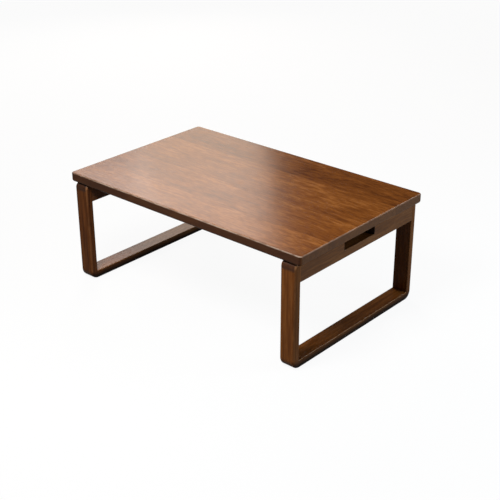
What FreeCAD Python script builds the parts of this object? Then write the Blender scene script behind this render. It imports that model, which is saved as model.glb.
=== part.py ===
import FreeCAD, Part
import Sketcher
import os

doc = FreeCAD.newDocument("folding_tea_table")
sheet = doc.addObject("Spreadsheet::Sheet", "sizes")

# Driving sizes in millimetres
driving = {
    "top_length": 800,
    "top_width": 500,
    "top_thickness": 26,
    "table_height": 311,
    "top_corner_radius": 9,
    "top_upper_round": 4,
    "top_lower_round": 6,
    "end_overhang": 14.5,
    "side_overhang": 0,
    "frame_depth": 46,
    "post_thickness": 20,
    "foot_rail_height": 23.5,
    "top_rail_height": 51,
    "frame_foot_radius": 24,
    "frame_head_radius": 14,
    "outer_edge_round": 7,
    "inner_edge_round": 2,
    "notch_width": 124,
    "notch_depth": 30,
    "notch_round": 1.2,
    "dowel_radius": 4,
    "dowel_spacing": 20,
    "dowel_in_post": 11,
    "dowel_in_rail": 27,
    "knuckle_radius": 3,
    "knuckle_clearance": 0.3,
    "hinge_length": 60,
    "hinge_inset": 80,
    "leaf_thickness": 1.6,
    "leaf_reach": 28,
    "hinge_pin_radius": 1.5,
    "running_clearance": 0.05,
    "screw_radius": 1.75,
    "screw_head_radius": 3.4,
    "screw_head_height": 1.4,
    "screw_length": 16,
    "leaf_screw_row": 17,
    "leaf_screw_spacing": 20,
    "spring_thickness": 1.5,
    "spring_width": 28,
    "spring_tab": 30,
    "spring_reach": 100,
    "spring_drop": 41,
    "spring_screw_spacing": 16,
    "lock_clearance": 0.4,
    "strike_thickness": 1.6,
    "strike_length": 44,
    "strike_height": 14,
    "strike_screw_spacing": 32,
}

# Sizes that follow from the driving ones
following = {
    "underside": "table_height - top_thickness",
    "frame_half": "frame_depth / 2",
    "frame_middle": "top_length / 2 - end_overhang - frame_half",
    "frame_outer": "top_width / 2 - side_overhang",
    "frame_inner": "frame_outer - post_thickness",
    "hinge_place": "frame_inner - hinge_inset",
    "opening_top": "underside - top_rail_height",
    "opening_height": "opening_top - foot_rail_height",
    "opening_middle": "foot_rail_height + opening_height / 2",
    "notch_floor": "underside - notch_depth",
    "dowel_length": "dowel_in_post + dowel_in_rail",
    "foot_dowel_height": "foot_rail_height / 2",
    "top_dowel_height": "(opening_top + underside) / 2",
    "hinge_stand": "knuckle_radius + knuckle_clearance",
    "hinge_across": "-frame_half - hinge_stand",
    "hinge_height": "underside - hinge_stand",
    "knuckle_pitch": "hinge_length / 3",
    "knuckle_length": "knuckle_pitch - knuckle_clearance",
    "leaf_width": "leaf_reach - hinge_stand",
    "knuckle_bore": "hinge_pin_radius + running_clearance",
    "leaf_screw_across": "hinge_across - leaf_screw_row",
    "leaf_screw_height": "hinge_height - leaf_screw_row",
    "leaf_screw_in_wood": "screw_length - leaf_thickness",
    "spring_bend": "-frame_half - spring_reach",
    "spring_tip": "-frame_half - strike_thickness - lock_clearance",
    "spring_tab_middle": "spring_bend - spring_tab / 2",
    "spring_screw_in_wood": "screw_length - spring_thickness",
    "strike_middle": "underside - spring_drop",
    "strike_screw_in_wood": "screw_length - strike_thickness",
}

cells = [(name, str(number)) for name, number in driving.items()]
cells += [(name, "=" + formula) for name, formula in following.items()]
for row, (name, content) in enumerate(cells, 1):
    sheet.set("A%d" % row, name)
    sheet.set("B%d" % row, content)
    sheet.setAlias("B%d" % row, name)
doc.recompute()

tolerance = 1e-3
upward = FreeCAD.Rotation(FreeCAD.Vector(0, 0, 1), 0)
toward_front = FreeCAD.Rotation(FreeCAD.Vector(1, 0, 0), 90)
toward_back = FreeCAD.Rotation(FreeCAD.Vector(1, 0, 0), -90)
outward = FreeCAD.Rotation(FreeCAD.Vector(0, 1, 0), 90)
half_turn = FreeCAD.Rotation(FreeCAD.Vector(0, 0, 1), 180)
ends = ("left", "right")
nodes = []


def size(name):
    return float(sheet.get(name))


def near(one, other):
    return abs(one - other) < tolerance


# Binds the position of a piece or feature to the cells
def put(thing, rotation, x, y, z):
    thing.Placement = FreeCAD.Placement(FreeCAD.Vector(0, 0, 0), rotation)
    for axis, expression in zip("xyz", (x, y, z)):
        thing.setExpression("Placement.Base." + axis, expression)


# Places a piece drawn about the middle of a leg frame; the left end is the right end turned half round
def put_at_end(thing, end):
    if end == "right":
        put(thing, upward, "sizes.frame_middle", "0", "0")
    else:
        put(thing, half_turn, "-sizes.frame_middle", "0", "0")


def new_body(label, end=None):
    body = doc.addObject("PartDesign::Body", label)
    body.Label = label
    if end:
        put_at_end(body, end)
    nodes.append(body)
    return body


# Side of the local drawing on which a face of the table lies
def side_of(end, face):
    return "-" if (end == "right") == (face == "front") else ""


def block(body, kind, name, length, width, height, x, y, z):
    feature = body.newObject("PartDesign::%sBox" % kind, name)
    feature.setExpression("Length", length)
    feature.setExpression("Width", width)
    feature.setExpression("Height", height)
    put(feature, upward, x, y, z)
    doc.recompute()


def rod(body, kind, name, radius, height, rotation, x, y, z):
    feature = body.newObject("PartDesign::%sCylinder" % kind, name)
    feature.setExpression("Radius", radius)
    feature.setExpression("Height", height)
    put(feature, rotation, x, y, z)
    doc.recompute()


# Cuts the cone that seats a countersunk screw head, wide end first
def countersink(body, name, rotation, x, y, z):
    feature = body.newObject("PartDesign::SubtractiveCone", name)
    feature.setExpression("Radius1", "sizes.screw_head_radius")
    feature.setExpression("Radius2", "sizes.screw_radius")
    feature.setExpression("Height", "sizes.screw_head_height")
    put(feature, rotation, x, y, z)
    doc.recompute()


# Rounds the edges of a body that pass a test on their bounding box
def round_edges(body, name, radius, test):
    base = body.Tip
    names = ["Edge%d" % number for number, edge in enumerate(base.Shape.Edges, 1) if test(edge.BoundBox)]
    fillet = body.newObject("PartDesign::Fillet", name)
    fillet.Base = (base, names)
    fillet.setExpression("Radius", radius)
    doc.recompute()


def sketch_on(body, role, name, offset):
    sketch = body.newObject("Sketcher::SketchObject", name)
    plane = [item for item in body.Origin.OriginFeatures if item.Role == role][0]
    sketch.AttachmentSupport = [(plane, "")]
    sketch.MapMode = "FlatFace"
    sketch.setExpression("AttachmentOffset.Base.z", offset)
    return sketch


# Draws a closed outline whose corners are bound to the cells
def outline(sketch, corners):
    first = sketch.GeometryCount
    count = len(corners)
    values = [[float(sketch.evalExpression(part)) for part in corner] for corner in corners]
    points = [FreeCAD.Vector(across, up, 0) for across, up in values]
    for number in range(count):
        sketch.addGeometry(Part.LineSegment(points[number], points[(number + 1) % count]), False)
    for number in range(count):
        following_side = first + (number + 1) % count
        sketch.addConstraint(Sketcher.Constraint("Coincident", first + number, 2, following_side, 1))
    for number, corner in enumerate(corners):
        for kind, expression, value in zip(("DistanceX", "DistanceY"), corner, values[number]):
            place = sketch.addConstraint(Sketcher.Constraint(kind, -1, 1, first + number, 1, value))
            sketch.setExpression("Constraints[%d]" % place, expression)
    doc.recompute()


def rectangle(half_width, low, high):
    return [("-" + half_width, low), (half_width, low), (half_width, high), ("-" + half_width, high)]


def pad(body, sketch, name, length):
    feature = body.newObject("PartDesign::Pad", name)
    feature.Profile = sketch
    feature.setExpression("Length", length)
    doc.recompute()


# Gathers equal fasteners in one node of separate solids
def group(label, end, items):
    gathered = doc.addObject("Part::Compound", label)
    gathered.Label = label
    gathered.Links = items
    put_at_end(gathered, end)
    nodes.append(gathered)


# Countersunk wood screw, its head face at the given place
def wood_screw(name, rotation, x, y, z):
    head = doc.addObject("Part::Cone", name + "_head")
    head.setExpression("Radius1", "sizes.screw_head_radius")
    head.setExpression("Radius2", "sizes.screw_radius")
    head.setExpression("Height", "sizes.screw_head_height")
    shank = doc.addObject("Part::Cylinder", name + "_shank")
    shank.setExpression("Radius", "sizes.screw_radius")
    shank.setExpression("Height", "sizes.screw_length")
    for piece in (head, shank):
        put(piece, rotation, x, y, z)
    screw = doc.addObject("Part::Fuse", name)
    screw.Base = shank
    screw.Tool = head
    return screw


# Places along the width at which each kind of screw stands
leaf_screws = [
    "%ssizes.hinge_place%s" % (side, step)
    for side in ("-", "")
    for step in (" - sizes.leaf_screw_spacing", "", " + sizes.leaf_screw_spacing")
]
spring_screws = ["-sizes.spring_screw_spacing / 2", "sizes.spring_screw_spacing / 2"]
strike_screws = ["-sizes.strike_screw_spacing / 2", "sizes.strike_screw_spacing / 2"]

# Tabletop, its underside at height zero of the body, with pilot holes for the hinge and spring screws
tabletop = new_body("tabletop")
put(tabletop, upward, "0", "0", "sizes.underside")
block(
    tabletop, "Additive", "panel",
    "sizes.top_length", "sizes.top_width", "sizes.top_thickness",
    "-sizes.top_length / 2", "-sizes.top_width / 2", "0",
)
round_edges(
    tabletop, "plan_corners", "sizes.top_corner_radius",
    lambda span: near(span.XLength, 0) and near(span.YLength, 0),
)
round_edges(
    tabletop, "upper_arris", "sizes.top_upper_round",
    lambda span: near(span.ZMin, size("top_thickness")),
)
round_edges(tabletop, "lower_arris", "sizes.top_lower_round", lambda span: near(span.ZMax, 0))
for end, sign in zip(ends, ("-", "")):
    for name, across, depth, places in (
        ("leaf", "sizes.leaf_screw_across", "sizes.leaf_screw_in_wood", leaf_screws),
        ("spring", "sizes.spring_tab_middle", "sizes.spring_screw_in_wood", spring_screws),
    ):
        for number, place in enumerate(places, 1):
            rod(
                tabletop, "Subtractive", "%s_pilot_%s_%d" % (name, end, number),
                "sizes.screw_radius", depth, upward,
                "%s(sizes.frame_middle + %s)" % (sign, across), place, "0",
            )


# Closed leg frame with rounded corners, from which the posts and rails are parted
def draw_frame(body, label):
    sketch = sketch_on(body, "YZ_Plane", label + "_outline", "-sizes.frame_half")
    outline(sketch, rectangle("sizes.frame_outer", "0", "sizes.underside"))
    outline(sketch, rectangle("sizes.frame_inner", "sizes.foot_rail_height", "sizes.opening_top"))
    pad(body, sketch, label + "_frame", "sizes.frame_depth")
    for name, height in (("foot", 0), ("head", size("underside"))):

        def on_corner(span):
            outside = near(abs(span.YMax), size("frame_outer")) and near(span.ZMax, height)
            return outside and near(span.XLength, size("frame_depth"))

        round_edges(body, "%s_%s_corners" % (label, name), "sizes.frame_%s_radius" % name, on_corner)

    def on_opening(span):
        beside = max(span.YMax, -span.YMin) < size("frame_inner") + tolerance
        above = span.ZMin > size("foot_rail_height") - tolerance
        below = span.ZMax < size("opening_top") + tolerance
        return beside and above and below and near(span.XLength, 0)

    round_edges(body, label + "_opening_edges", "sizes.inner_edge_round", on_opening)

    def on_outside(span):
        beyond = max(span.YMax, -span.YMin) > size("frame_inner") + size("inner_edge_round") + tolerance
        below = span.ZMin < tolerance or span.ZMax > size("underside") - tolerance
        return (beyond or below) and near(span.XLength, 0)

    round_edges(body, label + "_outer_edges", "sizes.outer_edge_round", on_outside)


# Parts the frame away above, below or beside a joint line
def part_away(body, name, y, width, z, height):
    block(
        body, "Subtractive", name,
        "sizes.frame_depth", width, height, "-sizes.frame_half", y, z,
    )


def dowel_holes(body, label, height, start, depth, rotation):
    for name, across in (("inboard", "-"), ("outboard", "")):
        rod(
            body, "Subtractive", "%s_%s" % (label, name),
            "sizes.dowel_radius", depth, rotation, across + "sizes.dowel_spacing / 2", start, height,
        )


def make_post(end, face):
    label = "leg_post_%s_%s" % (end, face)
    body = new_body(label, end)
    draw_frame(body, label)
    side = side_of(end, face)
    rotation = toward_front if side else toward_back
    rest = "-sizes.frame_inner" if side else "-sizes.frame_outer"
    part_away(
        body, label + "_parting", rest, "sizes.frame_inner + sizes.frame_outer", "0", "sizes.underside",
    )
    for name, height in (("foot", "sizes.foot_dowel_height"), ("top", "sizes.top_dowel_height")):
        dowel_holes(
            body, "%s_%s_dowel" % (label, name), height,
            side + "sizes.frame_inner", "sizes.dowel_in_post", rotation,
        )


def part_rail(body, label, low, high, dowel_height):
    for name, start in (("front", "-sizes.frame_outer"), ("back", "sizes.frame_inner")):
        part_away(
            body, "%s_%s_parting" % (label, name), start, "sizes.post_thickness", "0", "sizes.underside",
        )
    part_away(body, label + "_parting", "-sizes.frame_inner", "2 * sizes.frame_inner", low, high)
    for name, side, rotation in (("front", "-", toward_back), ("back", "", toward_front)):
        dowel_holes(
            body, "%s_%s_dowel" % (label, name), dowel_height, side + "sizes.frame_inner",
            "sizes.dowel_in_rail", rotation,
        )


def make_foot_rail(end):
    label = "foot_rail_" + end
    body = new_body(label, end)
    draw_frame(body, label)
    part_rail(
        body, label, "sizes.opening_middle", "sizes.underside - sizes.opening_middle",
        "sizes.foot_dowel_height",
    )


# Top rail with the finger notch and the holes for the hinge and strike screws
def make_top_rail(end):
    label = "top_rail_" + end
    body = new_body(label, end)
    draw_frame(body, label)
    part_rail(body, label, "0", "sizes.opening_middle", "sizes.top_dowel_height")
    part_away(
        body, label + "_notch", "-sizes.notch_width / 2", "sizes.notch_width",
        "sizes.notch_floor", "sizes.notch_depth",
    )
    round_edges(
        body, label + "_notch_edges", "sizes.notch_round",
        lambda span: near(span.ZMax, size("notch_floor")) and near(span.XLength, 0),
    )
    for name, height, depth, places in (
        ("leaf", "sizes.leaf_screw_height", "sizes.leaf_screw_in_wood", leaf_screws),
        ("strike", "sizes.strike_middle", "sizes.strike_screw_in_wood", strike_screws),
    ):
        for number, place in enumerate(places, 1):
            rod(
                body, "Subtractive", "%s_%s_pilot_%d" % (label, name, number),
                "sizes.screw_radius", depth, outward, "-sizes.frame_half", place, height,
            )


# Wooden dowels that tie a rail to both posts
def make_dowels(kind, end, height):
    label = "%s_dowels_%s" % (kind, end)
    items = []
    for face, side, rotation in (("front", "-", toward_front), ("back", "", toward_back)):
        for name, across in (("inboard", "-"), ("outboard", "")):
            dowel = doc.addObject("Part::Cylinder", "%s_%s_%s" % (label, face, name))
            dowel.setExpression("Radius", "sizes.dowel_radius")
            dowel.setExpression("Height", "sizes.dowel_length")
            put(
                dowel, rotation, across + "sizes.dowel_spacing / 2",
                "%s(sizes.frame_inner - sizes.dowel_in_rail)" % side, height,
            )
            items.append(dowel)
    group(label, end, items)


# Hinge leaf under the tabletop, with the two outer knuckles
def make_top_leaf(end, face):
    label = "hinge_top_leaf_%s_%s" % (end, face)
    body = new_body(label, end)
    side = side_of(end, face)
    place = side + "sizes.hinge_place"
    start = place + " - sizes.hinge_length / 2"
    level = "sizes.underside - sizes.leaf_thickness"
    block(
        body, "Additive", label + "_plate",
        "sizes.leaf_width", "sizes.hinge_length", "sizes.leaf_thickness",
        "sizes.hinge_across - sizes.leaf_reach", start, level,
    )
    for name, shift in (("first", "0"), ("last", "2 * sizes.knuckle_pitch + sizes.knuckle_clearance")):
        block(
            body, "Additive", "%s_neck_%s" % (label, name),
            "sizes.hinge_stand", "sizes.knuckle_length", "sizes.leaf_thickness",
            "sizes.hinge_across - sizes.hinge_stand", "%s + %s" % (start, shift), level,
        )
        rod(
            body, "Additive", "%s_knuckle_%s" % (label, name),
            "sizes.knuckle_radius", "sizes.knuckle_length", toward_back,
            "sizes.hinge_across", "%s + %s" % (start, shift), "sizes.hinge_height",
        )
    rod(
        body, "Subtractive", label + "_bore",
        "sizes.hinge_pin_radius", "sizes.hinge_length", toward_back,
        "sizes.hinge_across", start, "sizes.hinge_height",
    )
    for number, screw in enumerate(leaf_screws, 1):
        if screw.startswith(place):
            name = "%s_hole_%d" % (label, number)
            rod(
                body, "Subtractive", name, "sizes.screw_radius", "sizes.leaf_thickness", upward,
                "sizes.leaf_screw_across", screw, level,
            )
            countersink(body, name + "_sink", upward, "sizes.leaf_screw_across", screw, level)


# Hinge leaf on the inner face of the top rail, with the middle knuckle
def make_frame_leaf(end, face):
    label = "hinge_frame_leaf_%s_%s" % (end, face)
    body = new_body(label, end)
    side = side_of(end, face)
    place = side + "sizes.hinge_place"
    level = "-sizes.frame_half - sizes.leaf_thickness"
    block(
        body, "Additive", label + "_plate",
        "sizes.leaf_thickness", "sizes.hinge_length", "sizes.leaf_width",
        level, place + " - sizes.hinge_length / 2", "sizes.hinge_height - sizes.leaf_reach",
    )
    middle = place + " - sizes.knuckle_pitch / 2 + sizes.knuckle_clearance / 2"
    block(
        body, "Additive", label + "_neck",
        "sizes.leaf_thickness", "sizes.knuckle_length", "sizes.hinge_stand",
        level, middle, "sizes.hinge_height - sizes.hinge_stand",
    )
    rod(
        body, "Additive", label + "_knuckle",
        "sizes.knuckle_radius", "sizes.knuckle_length", toward_back,
        "sizes.hinge_across", middle, "sizes.hinge_height",
    )
    rod(
        body, "Subtractive", label + "_bore",
        "sizes.knuckle_bore", "sizes.knuckle_length", toward_back,
        "sizes.hinge_across", middle, "sizes.hinge_height",
    )
    for number, screw in enumerate(leaf_screws, 1):
        if screw.startswith(place):
            name = "%s_hole_%d" % (label, number)
            rod(
                body, "Subtractive", name, "sizes.screw_radius", "sizes.leaf_thickness", outward,
                level, screw, "sizes.leaf_screw_height",
            )
            countersink(body, name + "_sink", outward, level, screw, "sizes.leaf_screw_height")


def make_hinge_pin(end, face):
    label = "hinge_pin_%s_%s" % (end, face)
    body = new_body(label, end)
    start = side_of(end, face) + "sizes.hinge_place - sizes.hinge_length / 2"
    rod(
        body, "Additive", label + "_rod",
        "sizes.hinge_pin_radius", "sizes.hinge_length", toward_back,
        "sizes.hinge_across", start, "sizes.hinge_height",
    )


# Spring-steel strut whose tip stands against the strike and keeps the frame from folding
def make_lock_spring(end):
    label = "lock_spring_" + end
    body = new_body(label, end)
    sketch = sketch_on(body, "XZ_Plane", label + "_profile", "-sizes.spring_width / 2")
    outline(sketch, [
        ("sizes.spring_bend - sizes.spring_tab", "sizes.underside - sizes.spring_thickness"),
        ("sizes.spring_bend", "sizes.underside - sizes.spring_thickness"),
        ("sizes.spring_tip", "sizes.strike_middle - sizes.spring_thickness"),
        ("sizes.spring_tip", "sizes.strike_middle"),
        ("sizes.spring_bend", "sizes.underside"),
        ("sizes.spring_bend - sizes.spring_tab", "sizes.underside"),
    ])
    pad(body, sketch, label + "_strip", "sizes.spring_width")
    for number, place in enumerate(spring_screws, 1):
        level = "sizes.underside - sizes.spring_thickness"
        name = "%s_hole_%d" % (label, number)
        rod(
            body, "Subtractive", name, "sizes.screw_radius", "sizes.spring_thickness", upward,
            "sizes.spring_tab_middle", place, level,
        )
        countersink(body, name + "_sink", upward, "sizes.spring_tab_middle", place, level)


# Steel strike let on to the inner face of the top rail below the notch
def make_lock_strike(end):
    label = "lock_strike_" + end
    body = new_body(label, end)
    level = "-sizes.frame_half - sizes.strike_thickness"
    block(
        body, "Additive", label + "_plate",
        "sizes.strike_thickness", "sizes.strike_length", "sizes.strike_height",
        level, "-sizes.strike_length / 2", "sizes.strike_middle - sizes.strike_height / 2",
    )
    for number, place in enumerate(strike_screws, 1):
        name = "%s_hole_%d" % (label, number)
        rod(
            body, "Subtractive", name, "sizes.screw_radius", "sizes.strike_thickness", outward,
            level, place, "sizes.strike_middle",
        )
        countersink(body, name + "_sink", outward, level, place, "sizes.strike_middle")


def make_screws(kind, end, places, rotation, x, z):
    label = "%s_screws_%s" % (kind, end)
    items = []
    for number, place in enumerate(places, 1):
        items.append(wood_screw("%s_%d" % (label, number), rotation, x, place, z))
    group(label, end, items)


for end in ends:
    make_foot_rail(end)
    make_top_rail(end)
    make_dowels("foot_rail", end, "sizes.foot_dowel_height")
    make_dowels("top_rail", end, "sizes.top_dowel_height")
    for face in ("front", "back"):
        make_post(end, face)
        make_top_leaf(end, face)
        make_frame_leaf(end, face)
        make_hinge_pin(end, face)
    make_lock_spring(end)
    make_lock_strike(end)
    make_screws(
        "hinge_top", end, leaf_screws, upward, "sizes.leaf_screw_across",
        "sizes.underside - sizes.leaf_thickness",
    )
    make_screws(
        "hinge_frame", end, leaf_screws, outward, "-sizes.frame_half - sizes.leaf_thickness",
        "sizes.leaf_screw_height",
    )
    make_screws(
        "lock_spring", end, spring_screws, upward, "sizes.spring_tab_middle",
        "sizes.underside - sizes.spring_thickness",
    )
    make_screws(
        "lock_strike", end, strike_screws, outward, "-sizes.frame_half - sizes.strike_thickness",
        "sizes.strike_middle",
    )

doc.recompute()
for item in doc.Objects:
    if "Invalid" in item.State or "Error" in item.State:
        raise RuntimeError("feature failed: " + item.Name)
os.makedirs("parts", exist_ok=True)
for node in nodes:
    if node.Shape.isNull() or not node.Shape.isValid():
        raise RuntimeError("bad shape: " + node.Label)
    node.Shape.exportStep("parts/%s.step" % node.Label)
    print(node.Label, len(node.Shape.Solids), round(node.Shape.Volume))
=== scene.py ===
import math

import bmesh
import bpy
from mathutils import Euler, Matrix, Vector


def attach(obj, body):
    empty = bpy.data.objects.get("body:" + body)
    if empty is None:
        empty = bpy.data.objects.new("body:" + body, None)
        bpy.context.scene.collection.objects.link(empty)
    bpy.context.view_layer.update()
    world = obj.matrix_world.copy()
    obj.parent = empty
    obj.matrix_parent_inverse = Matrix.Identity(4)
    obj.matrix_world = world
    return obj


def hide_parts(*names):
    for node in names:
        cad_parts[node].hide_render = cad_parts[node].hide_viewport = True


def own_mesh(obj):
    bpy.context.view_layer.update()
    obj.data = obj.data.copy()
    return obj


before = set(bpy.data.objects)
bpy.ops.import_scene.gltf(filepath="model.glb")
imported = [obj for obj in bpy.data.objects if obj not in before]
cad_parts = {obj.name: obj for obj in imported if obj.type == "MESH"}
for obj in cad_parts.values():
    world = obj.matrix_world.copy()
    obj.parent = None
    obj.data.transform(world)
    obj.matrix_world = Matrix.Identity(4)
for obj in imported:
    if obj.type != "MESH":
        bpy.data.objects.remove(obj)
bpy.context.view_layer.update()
endSigns = {"left": -1.0, "right": 1.0}  # the side of the middle on which each leg frame stands
faces = ("front", "back")
upAxis = (0.0, 0.0, 1.0)
backAxis = (0.0, 1.0, 0.0)
quarterTurn = math.pi / 2.0
print("frame loaded:", len(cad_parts), "pieces")

# view of the table from above its right front corner
cameraSet = {
    "eye": (1.7425, -1.9484, 1.3759),
    "look": (-0.59486, 0.67565, -0.43548),
    "roll": -0.14,  # degrees
    "lens": 76.675,  # mm
    "sensor": 36.0,  # mm
    "clip": (0.05, 60.0),
}


def placeCamera(spec):
    data = bpy.data.cameras.new("camera")
    data.lens = spec["lens"]
    data.sensor_width = spec["sensor"]
    data.sensor_fit = "HORIZONTAL"
    data.clip_start, data.clip_end = spec["clip"]
    holder = bpy.data.objects.new("camera", data)
    holder.location = spec["eye"]
    turn = Vector(spec["look"]).to_track_quat("-Z", "Y")
    holder.rotation_mode = "QUATERNION"
    holder.rotation_quaternion = turn @ Euler((0.0, 0.0, math.radians(spec["roll"]))).to_quaternion()
    bpy.context.scene.collection.objects.link(holder)
    bpy.context.scene.camera = holder


placeCamera(cameraSet)
bpy.context.scene.view_settings.view_transform = "Standard"
print("camera placed")


# short ways to write node trees
def feed(tree, socket, value):
    if isinstance(value, bpy.types.NodeSocket):
        tree.links.new(value, socket)
    else:
        socket.default_value = value


def calc(tree, operation, *values):
    node = tree.nodes.new("ShaderNodeMath")
    node.operation = operation
    for socket, value in zip(node.inputs, values):
        feed(tree, socket, value)
    return node.outputs[0]


def onVectors(tree, operation, first, second):
    node = tree.nodes.new("ShaderNodeVectorMath")
    node.operation = operation
    feed(tree, node.inputs[0], first)
    feed(tree, node.inputs[1], second)
    return node.outputs["Value" if operation == "DOT_PRODUCT" else "Vector"]


def remap(tree, value, fromLow, fromHigh, toLow=0.0, toHigh=1.0):
    node = tree.nodes.new("ShaderNodeMapRange")
    node.interpolation_type = "SMOOTHSTEP"
    for socket, entry in zip(node.inputs, (value, fromLow, fromHigh, toLow, toHigh)):
        feed(tree, socket, entry)
    return node.outputs[0]


def noise(tree, vector, spec):
    node = tree.nodes.new("ShaderNodeTexNoise")
    feed(tree, node.inputs["Vector"], onVectors(tree, "MULTIPLY", vector, spec["scale"]))
    node.inputs["Scale"].default_value = 1.0
    node.inputs["Detail"].default_value = spec["detail"]
    node.inputs["Roughness"].default_value = spec["rough"]
    node.inputs["Distortion"].default_value = spec.get("twist", 0.0)
    return node.outputs[0]


def blendColour(tree, how, share, first, second):
    node = tree.nodes.new("ShaderNodeMix")
    node.data_type = "RGBA"
    node.blend_type = how
    for place, value in ((0, share), (6, first), (7, second)):  # the share and the two colours
        feed(tree, node.inputs[place], value)
    return node.outputs[2]


def tint(tree, colour, mask, share, paint):
    return blendColour(tree, "MIX", calc(tree, "MULTIPLY", mask, share), colour, paint)


def sway(tree, level, mask, strength):  # up and down around the middle of the mask
    return calc(tree, "MULTIPLY_ADD", calc(tree, "SUBTRACT", mask, 0.5), strength, level)


def newGroup(name, vectorsIn, valuesIn, valuesOut):
    tree = bpy.data.node_groups.new(name, "ShaderNodeTree")
    for label in vectorsIn:
        tree.interface.new_socket(label, in_out="INPUT", socket_type="NodeSocketVector")
    for label in valuesIn:
        tree.interface.new_socket(label, in_out="INPUT", socket_type="NodeSocketFloat")
    for label in valuesOut:
        tree.interface.new_socket(label, in_out="OUTPUT", socket_type="NodeSocketFloat")
    given = tree.nodes.new("NodeGroupInput")
    result = tree.nodes.new("NodeGroupOutput")
    return tree, given.outputs, result.inputs


def useGroup(tree, group, **values):
    node = tree.nodes.new("ShaderNodeGroup")
    node.node_tree = group
    for label, value in values.items():
        feed(tree, node.inputs[label.replace("_", " ")], value)
    return node.outputs


def addRelief(tree, surface, height, spec):
    bump = tree.nodes.new("ShaderNodeBump")
    bump.inputs["Strength"].default_value = spec["strength"]
    bump.inputs["Distance"].default_value = spec["depth"]
    feed(tree, bump.inputs["Height"], height)
    feed(tree, surface.inputs["Normal"], bump.outputs[0])


def newMaterial(name):
    material = bpy.data.materials.new(name)
    material.use_nodes = True
    return material, material.node_tree


def linear(red, green, blue):  # screen colour, 0 to 255, to the linear colour of a socket
    def channel(value):
        share = value / 255.0
        return share / 12.92 if share <= 0.04045 else ((share + 0.055) / 1.055) ** 2.4
    return (channel(red), channel(green), channel(blue), 1.0)


# grain of a sawn board; X of the vector runs along the fibres
grainSet = {
    "shift": (2.37, 0.71, 1.13),  # from the pattern of one board to that of the next
    "hills": {"scale": (2.2, 12.0, 12.0), "detail": 2.0, "rough": 0.45, "twist": 0.3},
    "rings": 62.0,  # how close together the growth rings cut through the hills
    "fleck": {"scale": (42.0, 230.0, 230.0), "detail": 3.0, "rough": 0.6, "twist": 0.2},
    "fleckShare": 0.62,
    "broad": {"scale": (9.0, 80.0, 80.0), "detail": 3.0, "rough": 0.55, "twist": 0.4},
    "broadShare": 0.38,
    "streakRange": (0.34, 0.66),
    "dashes": {"scale": (55.0, 1300.0, 1300.0), "detail": 1.0, "rough": 0.5},
    "poreRange": (0.60, 0.74),
    "mottle": {"scale": (7.0, 20.0, 20.0), "detail": 2.0, "rough": 0.5},
}


def makeGrainGroup(spec):
    tree, given, result = newGroup("sawn grain", ("Vector",), ("Piece",),
                                   ("Figure", "Streak", "Pores", "Mottle"))
    shift = tree.nodes.new("ShaderNodeCombineXYZ")
    for socket, step in zip(shift.inputs, spec["shift"]):
        feed(tree, socket, calc(tree, "MULTIPLY", given["Piece"], step))
    place = onVectors(tree, "ADD", given["Vector"], shift.outputs[0])
    hills = noise(tree, place, spec["hills"])
    rings = calc(tree, "SINE", calc(tree, "MULTIPLY", hills, spec["rings"]))
    feed(tree, result["Figure"], calc(tree, "MULTIPLY_ADD", rings, 0.5, 0.5))  # brought to 0 to 1
    fleck = calc(tree, "MULTIPLY", noise(tree, place, spec["fleck"]), spec["fleckShare"])
    broad = calc(tree, "MULTIPLY", noise(tree, place, spec["broad"]), spec["broadShare"])
    feed(tree, result["Streak"], remap(tree, calc(tree, "ADD", fleck, broad), *spec["streakRange"]))
    feed(tree, result["Pores"], remap(tree, noise(tree, place, spec["dashes"]), *spec["poreRange"]))
    feed(tree, result["Mottle"], noise(tree, place, spec["mottle"]))
    return tree


# where a surface turns over an arris, where the fibres are cut across, and which faces look sideways
arrisSet = {
    "fullTurn": 0.95,  # where the worn and painted highlight line is strongest
    "rub": {"scale": (38.0, 38.0, 38.0), "detail": 3.0, "rough": 0.6},
    "rubRange": (0.3, 0.62),
    "leastRub": 0.35,
    "upperRange": (-0.2, 0.3),  # how far it faces up; arrises that face down get no worn line and no painted highlight
    "backRange": (0.05, 0.4),  # how far it faces back; the back arris keeps its stain and gets no painted highlight
    "endRange": (-0.5, -0.05),  # the same, from the front arrises to those at the ends
    "cutRange": (0.72, 0.97),  # how far it faces along the fibres
    "sideRange": (0.3, 0.9),  # how far it faces sideways
}


def makeArrisGroup(spec):
    tree, given, result = newGroup("arris and end", ("Flat Axis", "Grain Axis", "Side Axis"),
                                   ("Sharpness", "End Wear"), ("Arris", "End Grain", "Side"))
    coords = tree.nodes.new("ShaderNodeTexCoord")

    def facing(axis):
        return onVectors(tree, "DOT_PRODUCT", coords.outputs["Normal"], axis)

    flat = calc(tree, "POWER", facing(given["Flat Axis"]), 2.0)
    turn = calc(tree, "MULTIPLY", flat, calc(tree, "SUBTRACT", 1.0, flat))
    turn = calc(tree, "MULTIPLY", turn, 4.0)  # 1 halfway round the arris
    turn = remap(tree, turn, given["Sharpness"], spec["fullTurn"])
    rub = noise(tree, coords.outputs["Object"], spec["rub"])
    wornHighlight = calc(tree, "MULTIPLY", turn, remap(tree, rub, *spec["rubRange"], spec["leastRub"], 1.0))
    upper = remap(tree, facing(upAxis), *spec["upperRange"])
    backward = facing(backAxis)
    wearHighlightFacing = remap(tree, backward, *spec["backRange"], 1.0, 0.0)
    atEnd = remap(tree, backward, *spec["endRange"], 1.0, given["End Wear"])
    wearHighlightFacing = calc(tree, "MULTIPLY", upper, calc(tree, "MULTIPLY", wearHighlightFacing, atEnd))
    feed(tree, result["Arris"], calc(tree, "MULTIPLY", wornHighlight, wearHighlightFacing))
    cut = calc(tree, "ABSOLUTE", facing(given["Grain Axis"]))
    feed(tree, result["End Grain"], remap(tree, cut, *spec["cutRange"]))
    side = calc(tree, "ABSOLUTE", facing(given["Side Axis"]))
    feed(tree, result["Side"], remap(tree, side, *spec["sideRange"]))
    return tree


grainGroup = makeGrainGroup(grainSet)
arrisGroup = makeArrisGroup(arrisSet)

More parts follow.
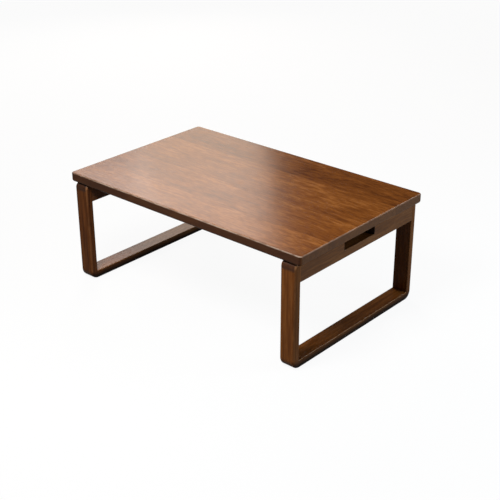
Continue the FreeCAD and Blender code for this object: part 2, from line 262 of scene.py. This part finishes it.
# stained and lacquered wood
woodLook = {
    "dark": linear(72, 34, 9),
    "middle": linear(120, 68, 27),
    "light": linear(164, 104, 50),
    "wornHighlight": linear(184, 134, 92),
    # end grain, greyer and lighter than bare end grain: its own tone with a painted grey reflection
    "endGrainAndSheen": linear(110, 80, 61),
    # colour of the painted shade on the front and back edges of the top and on the posts' heads
    "side": linear(66, 44, 34),
    "pore": linear(50, 24, 9),
    "streak": 0.42,  # how far streaks, growth rings and mottle move the tone
    "figure": 0.10,
    "mottle": 0.55,
    "poreShare": 0.35,
    "endShare": 0.6,
    "rubbed": 0.50,  # how far an arris is lightened: the stain worn off it and a painted highlight
    "sharpness": 0.15,  # a higher value makes the worn and highlighted line narrower
    "endWearAndHighlight": 1.0,  # wear and painted highlight of the arrises at the ends, as a share of those in front
    "gloss": 0.20,  # roughness of the lacquer
    "shine": 0.10,  # strength of its reflections
    "smudge": {"scale": (9.0, 9.0, 9.0), "detail": 3.0, "rough": 0.6},
    "smudgeRough": 0.08,
    "poreRough": 0.08,
    "endRough": 0.10,
    "streakRelief": 0.5,  # height of the streaks beside the depth of the pores
    "relief": {"strength": 0.12, "depth": 0.0003},
    "boards": None,
    "headShade": 0.0,
}
# boards of the top from the back to the front
topBoards = {
    "joints": (0.130, -0.0275, -0.145),  # places of the glue lines across the top
    "tones": (0.40, 0.55, 0.54, 0.56),  # each board at its back edge
    "falls": (0.10, 0.14, 0.14, 0.08),  # how much darker it is at its front edge
    "halfWidth": 0.25,
    "step": 0.0015,  # share of the width over which the tone changes
    "glueLine": 0.0004,
    "glueShare": 0.45,
}
# turn brings the fibres onto X, a lower value of drawn makes the streaks longer
topLook = dict(
    woodLook,
    dark=linear(72, 33, 5),
    middle=linear(120, 67, 22),
    # pale arris line: worn stain with a painted highlight
    wornHighlight=linear(200, 178, 160),
    rubbed=0.65,
    endWearAndHighlight=0.32,
    turn=(0.0, 0.0, 0.0),
    flatAxis=(0.0, 0.0, 1.0),
    grainAxis=(1.0, 0.0, 0.0),
    drawn=1.0,
    boards=topBoards,
    shadeSheenAxis=(0.0, 1.0, 0.0),  # faces that look along this axis are darker: painted shade on the front and back edges of the top
    shadeSheenColour="side",
    shadeSheenShare=0.8,
)
frameLook = dict(
    woodLook,
    flatAxis=(1.0, 0.0, 0.0),
    # faces that look to the ends take the greyer end colour: a painted grey reflection
    shadeSheenAxis=(1.0, 0.0, 0.0),
    shadeSheenColour="endGrainAndSheen",
    floorShadeRange=(0.006, 0.031),  # heights between which the painted shade on the feet fades out
    frontFloorShade=0.60,  # share of the colour left at the floor under the painted shade, on the fronts and on the ends
    endFloorShade=0.06,
    gripHalf=0.0635,  # half length and lowest height of the finger notch, and the painted shade inside it
    gripLow=0.2545,
    gripShade=0.45,
)
postLook = dict(
    frameLook,
    turn=(0.0, 90.0, 0.0),
    grainAxis=(0.0, 0.0, 1.0),
    drawn=0.3,
    shadeSheenShare=0.08,
    headShadeRange=(0.262, 0.270),  # heights between which a post's head is given painted shade under the top
    headShade=0.85,
)
railLook = dict(
    frameLook,
    turn=(0.0, 0.0, 90.0),
    grainAxis=(0.0, 1.0, 0.0),
    drawn=0.4,
    tone=0.46,
    rubbed=0.85,
    sharpness=0.50,
)
# tones of the posts: the left ones are darker, a painted shade where the light falls off towards the left
postLightTones = {"left": 0.32, "right": 0.47}
# share of that painted grey reflection on the rails' end faces
railEndSheens = {"foot": 0.04, "top": 0.36}


def boardTone(tree, across, spec):
    width = 2.0 * spec["halfWidth"]
    marks = (spec["halfWidth"],) + spec["joints"] + (-spec["halfWidth"],)
    share = remap(tree, across, spec["halfWidth"], -spec["halfWidth"])
    share.node.interpolation_type = "LINEAR"
    ramp = tree.nodes.new("ShaderNodeValToRGB")
    feed(tree, ramp.inputs[0], share)
    levels = []
    for number, tone in enumerate(spec["tones"]):
        start = 0.5 - marks[number] / width
        stop = 0.5 - marks[number + 1] / width
        levels.append((start + (spec["step"] if number else 0.0), tone))
        levels.append((stop, tone - spec["falls"][number]))
    stops = ramp.color_ramp.elements
    for at, level in levels[1:-1]:
        stops.new(at).color = (level, level, level, 1.0)
    for stop, (at, level) in ((stops[0], levels[0]), (stops[len(stops) - 1], levels[-1])):
        stop.color = (level, level, level, 1.0)
    return ramp.outputs[0]


def layBoards(tree, across, spec):
    piece = 0.0
    glue = 0.0
    for joint in spec["joints"]:
        piece = calc(tree, "ADD", calc(tree, "LESS_THAN", across, joint), piece)
        away = calc(tree, "ABSOLUTE", calc(tree, "SUBTRACT", across, joint))
        glue = calc(tree, "MAXIMUM", glue, remap(tree, away, 0.0, spec["glueLine"], 1.0, 0.0))
    return piece, glue


# painted shade on the frames: darker towards the floor, far more on the faces that look to the ends, and
# darker inside the finger notch
def paintFrameShade(tree, colour, look, side, across, height):
    lowest = calc(tree, "MULTIPLY_ADD", side, look["endFloorShade"] - look["frontFloorShade"], look["frontFloorShade"])
    floorShade = remap(tree, height, *look["floorShadeRange"], lowest, 1.0)
    within = calc(tree, "LESS_THAN", calc(tree, "ABSOLUTE", across), look["gripHalf"])
    within = calc(tree, "MULTIPLY", within, calc(tree, "GREATER_THAN", height, look["gripLow"]))
    shade = calc(tree, "MULTIPLY_ADD", within, look["gripShade"] - 1.0, 1.0)
    return blendColour(tree, "MULTIPLY", 1.0, colour, calc(tree, "MULTIPLY", floorShade, shade))


def makeWood(name, look):
    material, tree = newMaterial(name)
    surface = tree.nodes["Principled BSDF"]
    coords = tree.nodes.new("ShaderNodeTexCoord")
    fibres = tree.nodes.new("ShaderNodeMapping")
    feed(tree, fibres.inputs["Vector"], coords.outputs["Object"])
    fibres.inputs["Rotation"].default_value = [math.radians(angle) for angle in look["turn"]]
    fibres.inputs["Scale"].default_value = [look["drawn"] if axis else 1.0 for axis in look["grainAxis"]]
    split = tree.nodes.new("ShaderNodeSeparateXYZ")
    feed(tree, split.inputs[0], coords.outputs["Object"])
    across = split.outputs["Y"]
    height = split.outputs["Z"]
    boards = look["boards"]
    piece, glue = layBoards(tree, across, boards) if boards else (0.0, 0.0)
    tone = boardTone(tree, across, boards) if boards else look["tone"]
    grain = useGroup(tree, grainGroup, Vector=fibres.outputs[0], Piece=piece)
    shape = useGroup(tree, arrisGroup, Flat_Axis=look["flatAxis"], Grain_Axis=look["grainAxis"],
                     Side_Axis=look["shadeSheenAxis"], Sharpness=look["sharpness"], End_Wear=look["endWearAndHighlight"])

    level = sway(tree, tone, grain["Streak"], look["streak"])
    level = sway(tree, level, grain["Figure"], look["figure"])
    level = sway(tree, level, grain["Mottle"], look["mottle"])
    stain = tree.nodes.new("ShaderNodeValToRGB")
    stain.color_ramp.elements[0].color = look["dark"]
    stain.color_ramp.elements[1].color = look["light"]
    stain.color_ramp.elements.new(0.5).color = look["middle"]
    feed(tree, stain.inputs[0], level)
    colour = tint(tree, stain.outputs[0], grain["Pores"], look["poreShare"], look["pore"])
    colour = tint(tree, colour, shape["End Grain"], look["endShare"], look["endGrainAndSheen"])
    if boards:
        colour = tint(tree, colour, glue, boards["glueShare"], look["pore"])
    # faces that look sideways take another colour: painted shade on the top, a painted grey reflection on
    # the frames
    colour = tint(tree, colour, shape["Side"], look["shadeSheenShare"], look[look["shadeSheenColour"]])
    # painted shade on a post's head under the top, in the shade colour, on all faces but those that look to
    # the ends
    if look["headShade"]:
        under = remap(tree, height, *look["headShadeRange"], 0.0, look["headShade"])
        colour = tint(tree, colour, under, calc(tree, "SUBTRACT", 1.0, shape["Side"]), look["side"])
    # arrises lightened: the stain worn off them and a painted highlight
    colour = tint(tree, colour, shape["Arris"], look["rubbed"], look["wornHighlight"])
    # painted shade near the floor and in the finger notch
    if not boards:
        colour = paintFrameShade(tree, colour, look, shape["Side"], across, height)
    feed(tree, surface.inputs["Base Color"], colour)

    smudge = noise(tree, coords.outputs["Object"], look["smudge"])
    smoothest = look["gloss"] - look["smudgeRough"] / 2.0
    rough = calc(tree, "MULTIPLY_ADD", smudge, look["smudgeRough"], smoothest)
    rough = calc(tree, "MULTIPLY_ADD", grain["Pores"], look["poreRough"], rough)
    rough = calc(tree, "MULTIPLY_ADD", shape["End Grain"], look["endRough"], rough)
    feed(tree, surface.inputs["Roughness"], rough)
    surface.inputs["Specular IOR Level"].default_value = look["shine"]
    relief = calc(tree, "MULTIPLY", grain["Streak"], look["streakRelief"])
    relief = calc(tree, "SUBTRACT", relief, grain["Pores"])
    if boards:
        relief = calc(tree, "SUBTRACT", relief, glue)
    addRelief(tree, surface, relief, look["relief"])
    return material


topWood = makeWood("top wood", topLook)
postLightWood = {}
for end, tone in postLightTones.items():
    postLightWood[end] = makeWood("post wood " + end, dict(postLook, tone=tone))
railWood = {}
for kind, share in railEndSheens.items():
    railWood[kind] = makeWood(kind + " rail wood", dict(railLook, shadeSheenShare=share))
print("wood made")

# steel with fine rubbing marks and small stains
metalSet = {
    "hair": {"scale": (900.0, 60.0, 900.0), "detail": 3.0, "rough": 0.6},
    "hairRange": (0.4, 0.7),
    "cloud": {"scale": (130.0, 130.0, 130.0), "detail": 4.0, "rough": 0.6},
    "cloudRange": (0.48, 0.68),
}
metalLook = {
    "marks": 0.7,  # strength of the rubbing marks
    "stainShare": 0.5,
    "stainRough": 0.18,
    "rubRough": -0.08,
    "relief": {"strength": 0.08, "depth": 0.0001},
}
hingeLook = dict(
    metalLook,
    base=linear(92, 76, 54),
    rubbed=linear(150, 130, 98),
    stain=linear(58, 46, 34),
    rough=0.38,
)
springLook = dict(
    metalLook,
    base=linear(96, 98, 102),
    rubbed=linear(146, 148, 152),
    stain=linear(58, 60, 66),
    rough=0.30,
)
screwLook = dict(
    metalLook,
    base=linear(134, 128, 112),
    rubbed=linear(184, 178, 164),
    stain=linear(84, 78, 66),
    rough=0.34,
)


def makeMetalGroup(spec):
    tree, given, result = newGroup("rubbed metal", ("Vector",), ("Marks",), ("Rub", "Stain"))
    hair = remap(tree, noise(tree, given["Vector"], spec["hair"]), *spec["hairRange"])
    feed(tree, result["Rub"], calc(tree, "MULTIPLY", hair, given["Marks"]))
    cloud = noise(tree, given["Vector"], spec["cloud"])
    feed(tree, result["Stain"], remap(tree, cloud, *spec["cloudRange"]))
    return tree


metalGroup = makeMetalGroup(metalSet)


def makeMetal(name, look):
    material, tree = newMaterial(name)
    surface = tree.nodes["Principled BSDF"]
    coords = tree.nodes.new("ShaderNodeTexCoord")
    steel = useGroup(tree, metalGroup, Vector=coords.outputs["Object"], Marks=look["marks"])
    colour = blendColour(tree, "MIX", steel["Rub"], look["base"], look["rubbed"])
    colour = tint(tree, colour, steel["Stain"], look["stainShare"], look["stain"])
    feed(tree, surface.inputs["Base Color"], colour)
    surface.inputs["Metallic"].default_value = 1.0
    rough = calc(tree, "MULTIPLY_ADD", steel["Stain"], look["stainRough"], look["rough"])
    rough = calc(tree, "MULTIPLY_ADD", steel["Rub"], look["rubRough"], rough)
    feed(tree, surface.inputs["Roughness"], rough)
    addRelief(tree, surface, steel["Rub"], look["relief"])
    return material


hingeSteel = makeMetal("hinge steel", hingeLook)
springSteel = makeMetal("spring steel", springLook)
screwSteel = makeMetal("screw steel", screwLook)
print("metal made")


def dress(node, material):
    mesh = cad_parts[node].data
    if not mesh.materials:
        mesh.materials.append(material)
    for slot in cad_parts[node].material_slots:
        slot.material = material


dress("tabletop", topWood)
for end in endSigns:
    for kind, wood in railWood.items():
        dress("%s_rail_%s" % (kind, end), wood)
        dress("%s_rail_dowels_%s" % (kind, end), wood)
    dress("lock_strike_" + end, hingeSteel)
    dress("lock_spring_" + end, springSteel)
    for kind in ("hinge_top", "hinge_frame", "lock_spring", "lock_strike"):
        dress("%s_screws_%s" % (kind, end), screwSteel)
    for face in faces:
        dress("leg_post_%s_%s" % (end, face), postLightWood[end])
        for kind in ("hinge_top_leaf", "hinge_frame_leaf", "hinge_pin"):
            dress("%s_%s_%s" % (kind, end, face), hingeSteel)
print("pieces dressed")

# lock springs: bent steel strips; on the real table they flatten when their frame folds, here they keep
# their bent shape
springSet = {
    "width": 0.028,
    "thickness": 0.0013,
    "underside": 0.285,  # height of the top's underside
    "tabEnd": 0.2095,  # places along the table, out from its middle
    "bend": 0.2395,
    "tip": 0.3375,
    "bendReach": 0.012,  # length of the bend on both sides of its middle
    "bendSteps": 8,
    "drop": 0.041,  # of the tip below the underside
    "tipRound": 0.006,
    "tipTaper": 0.45,  # share of the round that the ends are narrower by
    "edge": 0.0003,
    "edgeSteps": 2,
    "keep": 0.1,  # share of the height left when the frame is folded
}


def springPath(spec):
    run = spec["tip"] - spec["bend"]
    slope = spec["drop"] / run
    reach = spec["bendReach"]
    points = [(spec["tabEnd"], 0.0)]
    for step in range(spec["bendSteps"] + 1):
        part = step / spec["bendSteps"]
        across = spec["bend"] - reach + 2.0 * reach * part
        points.append((across, -slope * reach * part * part))
    points.append((spec["tip"] - spec["tipRound"], -slope * (run - spec["tipRound"])))
    points.append((spec["tip"], -spec["drop"]))
    return points


def makeSpring(end, sign, spec):
    shape = bmesh.new()
    rows = []
    path = springPath(spec)
    for number, (across, fall) in enumerate(path):
        narrow = spec["tipRound"] * spec["tipTaper"] if number in (0, len(path) - 1) else 0.0
        half = spec["width"] / 2.0 - narrow
        level = spec["underside"] + fall
        rows.append([
            shape.verts.new((sign * across, side * half, height))
            for height in (level, level - spec["thickness"])
            for side in (-1.0, 1.0)
        ])
    for near, far in zip(rows, rows[1:]):
        for first, second in ((0, 1), (1, 3), (3, 2), (2, 0)):  # round the four corners of a row
            shape.faces.new((near[first], near[second], far[second], far[first]))
    for row in (rows[0], rows[-1]):
        shape.faces.new((row[0], row[1], row[3], row[2]))
    bmesh.ops.recalc_face_normals(shape, faces=shape.faces)
    mesh = bpy.data.meshes.new("lock_strip_" + end)
    shape.to_mesh(mesh)
    shape.free()
    mesh.materials.append(springSteel)
    strip = bpy.data.objects.new("lock_strip_" + end, mesh)
    bpy.context.scene.collection.objects.link(strip)
    edge = strip.modifiers.new("broken edges", "BEVEL")
    edge.width = spec["edge"]
    edge.segments = spec["edgeSteps"]
    edge.limit_method = "ANGLE"
    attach(strip, "table_top")
    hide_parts("lock_spring_" + end)
    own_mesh(strip)


for end, sign in endSigns.items():
    makeSpring(end, sign, springSet)
print("lock springs made")

# countersunk screws with a cross recess, one set for each body
screwSet = {
    "headRadius": 0.0034,
    "headHeight": 0.0014,
    "shankRadius": 0.00175,
    "length": 0.016,
    "sides": 28,
    "recessLength": 0.0038,
    "recessWidth": 0.0008,
    "recessDepth": 0.0010,
    "seed": 7,
}
screwSockets = {
    "Head Radius": "NodeSocketFloat",
    "Head Height": "NodeSocketFloat",
    "Shank Radius": "NodeSocketFloat",
    "Length": "NodeSocketFloat",
    "Recess": "NodeSocketVector",
    "Axis Turn": "NodeSocketVector",
    "Seed": "NodeSocketInt",
    "Finish": "NodeSocketMaterial",
}


def makeScrewTree(spec):
    tree = bpy.data.node_groups.new("countersunk screws", "GeometryNodeTree")
    tree.interface.new_socket("Geometry", in_out="INPUT", socket_type="NodeSocketGeometry")
    inputs = {}
    for label, kind in screwSockets.items():
        inputs[label] = tree.interface.new_socket(label, in_out="INPUT", socket_type=kind).identifier
    tree.interface.new_socket("Geometry", in_out="OUTPUT", socket_type="NodeSocketGeometry")
    given = tree.nodes.new("NodeGroupInput").outputs
    result = tree.nodes.new("NodeGroupOutput").inputs

    def add(kind, **values):
        node = tree.nodes.new(kind)
        for label, value in values.items():
            feed(tree, node.inputs[label.replace("_", " ")], value)
        return node

    head = add("GeometryNodeMeshCone", Vertices=spec["sides"], Radius_Bottom=given["Head Radius"],
               Radius_Top=given["Shank Radius"], Depth=given["Head Height"])
    shank = add("GeometryNodeMeshCone", Vertices=spec["sides"], Radius_Bottom=given["Shank Radius"],
                Radius_Top=given["Shank Radius"], Depth=given["Length"])
    whole = add("GeometryNodeMeshBoolean")
    whole.operation = "UNION"
    slit = add("GeometryNodeMeshCube", Size=given["Recess"])
    crossSlit = add("GeometryNodeTransform", Geometry=slit.outputs["Mesh"], Rotation=(0.0, 0.0, quarterTurn))
    cut = add("GeometryNodeMeshBoolean", Mesh_1=whole.outputs["Mesh"])
    cut.operation = "DIFFERENCE"
    for target, pieces in ((whole, (head.outputs["Mesh"], shank.outputs["Mesh"])),
                           (cut, (slit.outputs["Mesh"], crossSlit.outputs["Geometry"]))):
        for piece in pieces:
            feed(tree, target.inputs["Mesh 2"], piece)
    aim = add("FunctionNodeEulerToRotation", Euler=given["Axis Turn"])
    spread = add("GeometryNodeInstanceOnPoints", Points=given["Geometry"], Instance=cut.outputs["Mesh"],
                 Rotation=aim.outputs["Rotation"])
    chance = tree.nodes.new("FunctionNodeRandomValue")  # how far each screw happens to be turned
    chance.data_type = "FLOAT"
    feed(tree, chance.inputs[3], quarterTurn)
    feed(tree, chance.inputs["Seed"], given["Seed"])
    twist = add("ShaderNodeCombineXYZ", Z=chance.outputs[1])
    loose = add("GeometryNodeRotateInstances", Instances=spread.outputs["Instances"],
                Rotation=twist.outputs[0])
    solid = add("GeometryNodeRealizeInstances", Geometry=loose.outputs["Instances"])
    painted = add("GeometryNodeSetMaterial", Geometry=solid.outputs["Geometry"], Material=given["Finish"])
    feed(tree, result["Geometry"], painted.outputs["Geometry"])
    return tree, inputs


screwTree, screwInputs = makeScrewTree(screwSet)


def makeScrews(name, body, places, axisTurn, nodes, spec):
    mesh = bpy.data.meshes.new(name)
    mesh.from_pydata(places, [], [])
    screws = bpy.data.objects.new(name, mesh)
    bpy.context.scene.collection.objects.link(screws)
    maker = screws.modifiers.new("screws", "NODES")
    maker.node_group = screwTree
    values = {
        "Head Radius": spec["headRadius"],
        "Head Height": spec["headHeight"],
        "Shank Radius": spec["shankRadius"],
        "Length": spec["length"],
        "Recess": (spec["recessLength"], spec["recessWidth"], 2.0 * spec["recessDepth"]),
        "Axis Turn": axisTurn,
        "Seed": spec["seed"],
        "Finish": screwSteel,
    }
    for label, value in values.items():
        maker[screwInputs[label]] = value
    ready = screws.evaluated_get(bpy.context.evaluated_depsgraph_get())
    finished = bpy.data.meshes.new_from_object(ready)
    screws.modifiers.remove(maker)
    screws.data = finished
    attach(screws, body)
    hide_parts(*nodes)


# places of the screw heads: steps across the table, then how far out from its middle and how high
headPlaces = {
    "hingeMiddle": 0.15,
    "hingeSteps": (-0.02, 0.0, 0.02),
    "springSteps": (-0.008, 0.008),
    "strikeSteps": (-0.016, 0.016),
    "hingeTop": (0.3192, 0.2834),
    "springTab": (0.2245, 0.2835),
    "hingeFrame": (0.3379, 0.2647),
    "strike": (0.3379, 0.2440),
}
hingeRow = []
for sign in endSigns.values():
    hingeRow += [sign * headPlaces["hingeMiddle"] + step for step in headPlaces["hingeSteps"]]


def headRow(sign, along, place):
    return [(sign * place[0], at, place[1]) for at in along]


topPlaces = []
topNodes = []
for end, sign in endSigns.items():
    topPlaces += headRow(sign, hingeRow, headPlaces["hingeTop"])
    topPlaces += headRow(sign, headPlaces["springSteps"], headPlaces["springTab"])
    topNodes += ["hinge_top_screws_" + end, "lock_spring_screws_" + end]
    framePlaces = headRow(sign, hingeRow, headPlaces["hingeFrame"])
    framePlaces += headRow(sign, headPlaces["strikeSteps"], headPlaces["strike"])
    frameNodes = ["hinge_frame_screws_" + end, "lock_strike_screws_" + end]
    outward = (0.0, sign * quarterTurn, 0.0)
    makeScrews("frame_screws_" + end, "leg_frame_" + end, framePlaces, outward, frameNodes, screwSet)
makeScrews("top_screws", "table_top", topPlaces, (0.0, 0.0, 0.0), topNodes, screwSet)
print("screws made")

# floor, background and lights
floorSet = {
    "size": 60.0,
    "drop": 0.0006,  # just under the foot rails
    "seen": 0.92,  # grey of the floor in the picture
    "bounce": 0.18,  # grey of the floor for light that it throws back
    "white": 0.93,  # how much of the floor near the table is plain white
    "fade": (2.0, 6.0),  # distances between which the floor turns into the background
    "mirrored": 0.14,  # how much of the white the lacquer shows
}
worldSet = {"level": 0.06}  # light from all around; the camera sees plain white
lampSet = {
    "upperPane": (1.0, 0.88, 0.79),  # light through a window
    "lowerPane": (1.0, 0.80, 0.64),
    "farPane": (1.0, 0.93, 0.88),
    "plain": (1.0, 0.98, 0.95),
    "cool": (0.68, 0.86, 1.0),
    "aim": (0.0, 0.0, 0.25),
}
lamps = {
    "nearPaneUpper": {"azimuth": 136.0, "elevation": 31.0, "distance": 3.2, "size": (0.74, 1.0),
                      "watts": 14.6, "colour": "upperPane"},
    "nearPaneLower": {"azimuth": 136.0, "elevation": 13.5, "distance": 3.2, "size": (0.74, 0.96),
                      "watts": 9.0, "colour": "lowerPane"},
    "farPaneUpper": {"azimuth": 150.0, "elevation": 31.0, "distance": 3.2, "size": (0.80, 1.0),
                     "watts": 16.0, "colour": "farPane"},
    "farPaneLower": {"azimuth": 150.0, "elevation": 13.5, "distance": 3.2, "size": (0.80, 0.96),
                     "watts": 5.5, "colour": "farPane"},
    "overhead": {"azimuth": -110.0, "elevation": 80.0, "distance": 2.6, "size": (1.6, 1.6),
                 "watts": 9.0, "colour": "plain"},
    "front": {"azimuth": -80.0, "elevation": 52.0, "distance": 1.5, "size": (0.5, 0.5),
              "watts": 19.6, "colour": "plain"},
    "card": {"azimuth": -137.0, "elevation": 38.0, "distance": 2.4, "size": (0.6, 0.5),
             "watts": 9.0, "colour": "plain", "mirrorOnly": True},
    "endCard": {"azimuth": 68.0, "elevation": 38.0, "distance": 2.4, "size": (0.6, 0.8),
                "watts": 12.0, "colour": "plain", "mirrorOnly": True},
    "side": {"azimuth": 25.0, "elevation": 19.0, "distance": 2.2, "size": (1.2, 1.2),
             "watts": 25.5, "colour": "cool"},
}


def mixShaders(tree, share, first, second):
    node = tree.nodes.new("ShaderNodeMixShader")
    feed(tree, node.inputs[0], share)
    feed(tree, node.inputs[1], first.outputs[0])
    feed(tree, node.inputs[2], second.outputs[0])
    return node


def makeFloor(spec):
    mesh = bpy.data.meshes.new("floor")
    half = spec["size"] / 2.0
    outline = ((-half, -half), (half, -half), (half, half), (-half, half))
    corners = [(x, y, -spec["drop"]) for x, y in outline]
    mesh.from_pydata(corners, [], [(0, 1, 2, 3)])
    floor = bpy.data.objects.new("floor", mesh)
    bpy.context.scene.collection.objects.link(floor)
    material, tree = newMaterial("pale floor")
    tree.nodes.clear()
    path = tree.nodes.new("ShaderNodeLightPath")
    direct = calc(tree, "MAXIMUM", path.outputs["Is Camera Ray"], path.outputs["Is Transmission Ray"])
    glossy = calc(tree, "MULTIPLY", path.outputs["Is Glossy Ray"], spec["mirrored"])
    direct = calc(tree, "MAXIMUM", direct, glossy)
    matt = tree.nodes.new("ShaderNodeBsdfDiffuse")
    feed(tree, matt.inputs["Color"], remap(tree, direct, 0.0, 1.0, spec["bounce"], spec["seen"]))
    coords = tree.nodes.new("ShaderNodeTexCoord")
    distance = tree.nodes.new("ShaderNodeVectorMath")
    distance.operation = "LENGTH"
    feed(tree, distance.inputs[0], coords.outputs["Object"])
    share = remap(tree, distance.outputs["Value"], *spec["fade"], spec["white"], 1.0)
    white = tree.nodes.new("ShaderNodeEmission")
    seen = mixShaders(tree, calc(tree, "MULTIPLY", direct, share), matt, white)
    clear = tree.nodes.new("ShaderNodeBsdfTransparent")
    under = tree.nodes.new("ShaderNodeNewGeometry")
    whole = mixShaders(tree, under.outputs["Backfacing"], seen, clear)  # clear from below
    out = tree.nodes.new("ShaderNodeOutputMaterial")
    feed(tree, out.inputs["Surface"], whole.outputs[0])
    mesh.materials.append(material)


def makeWorld(spec):
    world = bpy.data.worlds.new("studio")
    world.use_nodes = True
    tree = world.node_tree
    back = tree.nodes["Background"]
    back.inputs["Color"].default_value = (1.0, 1.0, 1.0, 1.0)
    path = tree.nodes.new("ShaderNodeLightPath")
    level = calc(tree, "MULTIPLY_ADD", path.outputs["Is Camera Ray"], 1.0 - spec["level"], spec["level"])
    feed(tree, back.inputs["Strength"], level)
    bpy.context.scene.world = world


def placeLamp(name, spec):
    data = bpy.data.lights.new(name, "AREA")
    data.shape = "RECTANGLE"
    data.size, data.size_y = spec["size"]
    data.energy = spec["watts"]
    data.color = lampSet[spec["colour"]]
    lamp = bpy.data.objects.new(name, data)
    around = math.radians(spec["azimuth"])
    up = math.radians(spec["elevation"])
    away = Vector((math.cos(around) * math.cos(up), math.sin(around) * math.cos(up), math.sin(up)))
    lamp.location = Vector(lampSet["aim"]) + away * spec["distance"]
    lamp.rotation_mode = "QUATERNION"
    lamp.rotation_quaternion = (-away).to_track_quat("-Z", "Y")
    lamp.visible_camera = False
    lamp.visible_diffuse = not spec.get("mirrorOnly", False)  # the cards show in the lacquer alone
    bpy.context.scene.collection.objects.link(lamp)


makeFloor(floorSet)
makeWorld(worldSet)
for name, spec in lamps.items():
    placeLamp(name, spec)
print("stage lit")
